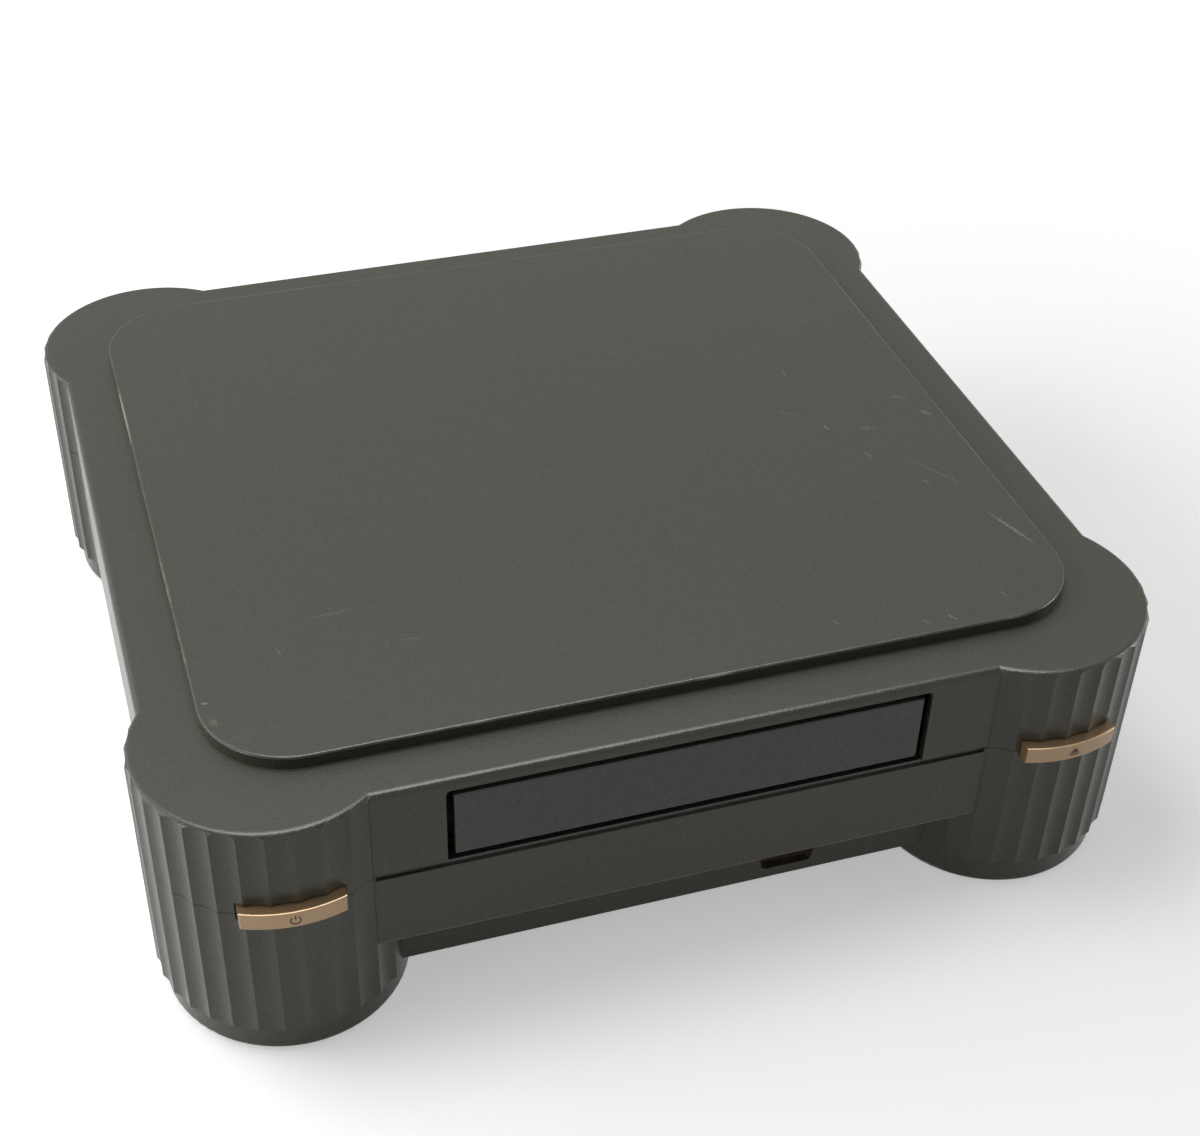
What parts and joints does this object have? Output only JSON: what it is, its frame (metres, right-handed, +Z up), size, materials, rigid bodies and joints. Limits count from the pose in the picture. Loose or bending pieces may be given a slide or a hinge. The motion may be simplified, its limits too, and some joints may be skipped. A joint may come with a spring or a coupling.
{
  "type": "video game console",
  "caption": "Flat games console with four fluted corner towers, a raised top plate, a front disc tray that slides out, two arc buttons and a controller port.",
  "frame": {"origin": "on the ground under the middle of the bounding box", "axes": "+X to the console's right seen from the front, -Y out of the front, +Z up"},
  "size_m": [0.3, 0.2872, 0.092],
  "materials": {
    "case_plastic": "fine-grained moulded",
    "door_plastic": "fine-grained moulded",
    "strip_plastic": "smoked clear",
    "button_bronze": "gold-bronze paint",
    "tray_plastic": "moulded",
    "mechanism_plastic": "moulded",
    "gear_plastic": "moulded",
    "switch_plastic": "moulded",
    "zinc_steel": "zinc-plated sheet",
    "screw_steel": "turned",
    "tin_plate": "tinned sheet",
    "bronze_shell": "dull bronze plating",
    "contact_brass": "plated",
    "rubber": "moulded",
    "board_green": "solder resist",
    "board_brown": "paper laminate",
    "chip_black": "moulded",
    "lamp_clear": "clear",
    "lens_glass": "coated",
    "magnet": "sintered",
    "core_steel": "stacked laminations",
    "winding_tape": "tape over wire",
    "capacitor_sleeve": "shrunk sleeve",
    "aluminium": "extruded",
    "jack_yellow": "moulded",
    "jack_white": "moulded",
    "jack_red": "moulded"
  },
  "bodies": {
    "case": {"bottom_pan": "case_plastic", "tower_feet": "case_plastic", "lower_cover": "case_plastic", "rear_panel": "case_plastic", "upper_cover": "case_plastic", "case_screws": "screw_steel", "rubber_feet": "rubber", "indicator_strip": "strip_plastic", "push_switches": "switch_plastic", "front_board": "board_brown", "indicator_lamps": "lamp_clear", "controller_port_shell": "bronze_shell", "controller_port_core": "switch_plastic", "controller_port_pins": "contact_brass", "mechanism_chassis": "mechanism_plastic", "chassis_screws": "screw_steel", "loading_motor": "zinc_steel", "drive_belt": "rubber", "clamp_bridge": "zinc_steel", "main_board": "board_green", "large_chips": "chip_black", "memory_chips": "chip_black", "shield_can": "tin_plate", "rf_modulator": "tin_plate", "s_video_jack": "switch_plastic", "power_board": "board_brown", "transformer_core": "core_steel", "transformer_winding": "winding_tape", "filter_capacitors": "capacitor_sleeve", "heat_sink": "aluminium", "power_inlet": "switch_plastic", "inlet_pins": "contact_brass", "board_screws": "screw_steel", "video_jack": "jack_yellow", "audio_left_jack": "jack_white", "audio_right_jack": "jack_red"},
    "tray": {"disc_tray": "tray_plastic", "tray_door": "door_plastic"},
    "tray_gear": {"tray_gear": "gear_plastic"},
    "loading_pulley": {"loading_pulley": "gear_plastic"},
    "motor_pulley": {"motor_pulley": "gear_plastic"},
    "power_button": {"power_button": "button_bronze", "power_plunger": "switch_plastic"},
    "open_button": {"open_button": "button_bronze", "open_plunger": "switch_plastic"},
    "lift": {"lift_frame": "mechanism_plastic", "rubber_dampers": "rubber", "damper_screws": "screw_steel", "optical_base": "zinc_steel", "spindle_motor": "zinc_steel", "guide_rods": "screw_steel", "feed_motor": "zinc_steel"},
    "turntable": {"turntable": "switch_plastic"},
    "clamp": {"clamp_puck": "gear_plastic", "clamp_magnet": "magnet"},
    "pickup": {"pickup_sled": "mechanism_plastic", "pickup_lens": "lens_glass"},
    "feed_gear": {"feed_gear": "gear_plastic"},
    "feed_motor_pinion": {"feed_motor_pinion": "gear_plastic"},
    "channel_switch": {"channel_switch": "switch_plastic"}
  },
  "joints": [
    {"name": "tray_slide", "type": "slide", "parent": "case", "child": "tray", "axis": [0, -1, 0], "range_m": [0, 0.138]},
    {"name": "tray_gear_spin", "type": "hinge", "parent": "case", "child": "tray_gear", "pos_m": [-0.042, -0.0968, 0.0582], "axis": [0, 0, 1], "range_deg": [0, 528]},
    {"name": "loading_pulley_spin", "type": "hinge", "parent": "case", "child": "loading_pulley", "pos_m": [-0.02147, -0.1023, 0.054], "axis": [0, 0, 1], "range_deg": [-1266, 0]},
    {"name": "motor_pulley_spin", "type": "hinge", "parent": "case", "child": "motor_pulley", "pos_m": [0.02053, -0.1023, 0.054], "axis": [0, 0, 1], "range_deg": [-3353, 0]},
    {"name": "power_press", "type": "slide", "parent": "case", "child": "power_button", "axis": [0, 1, 0], "range_m": [0, 0.0015], "stiffness_N_per_m": 400, "springref_m": -0.0004},
    {"name": "open_press", "type": "slide", "parent": "case", "child": "open_button", "axis": [0, 1, 0], "range_m": [0, 0.0015], "stiffness_N_per_m": 400, "springref_m": -0.0004},
    {"name": "lift_tilt", "type": "hinge", "parent": "case", "child": "lift", "pos_m": [0, 0.0196, 0.0507], "axis": [1, 0, 0], "range_deg": [0, 5]},
    {"name": "turntable_spin", "type": "hinge", "parent": "lift", "child": "turntable", "pos_m": [0, -0.0624, 0.0738], "axis": [0, 0, 1], "continuous": true},
    {"name": "clamp_spin", "type": "hinge", "parent": "case", "child": "clamp", "pos_m": [0, -0.0624, 0.0752], "axis": [0, 0, 1], "continuous": true},
    {"name": "pickup_slide", "type": "slide", "parent": "lift", "child": "pickup", "axis": [0, 1, 0], "range_m": [0, 0.035]},
    {"name": "feed_gear_spin", "type": "hinge", "parent": "lift", "child": "feed_gear", "pos_m": [0.02976, -0.0104, 0.0557], "axis": [0, 0, 1], "range_deg": [-419, 0]},
    {"name": "feed_motor_spin", "type": "hinge", "parent": "lift", "child": "feed_motor_pinion", "pos_m": [0.02976, 0.0028, 0.0557], "axis": [0, 0, 1], "range_deg": [0, 1115]},
    {"name": "channel_slide", "type": "slide", "parent": "case", "child": "channel_switch", "axis": [1, 0, 0], "range_m": [0, 0.003]}
  ],
  "couplings": [
    {"joint": "tray_gear_spin", "follows": "tray_slide", "rad_per_m": 66.667},
    {"joint": "loading_pulley_spin", "follows": "tray_slide", "rad_per_m": -160},
    {"joint": "motor_pulley_spin", "follows": "tray_slide", "rad_per_m": -423.92},
    {"joint": "feed_gear_spin", "follows": "pickup_slide", "rad_per_m": -208.33},
    {"joint": "feed_motor_spin", "follows": "pickup_slide", "rad_per_m": 555.56}
  ]
}
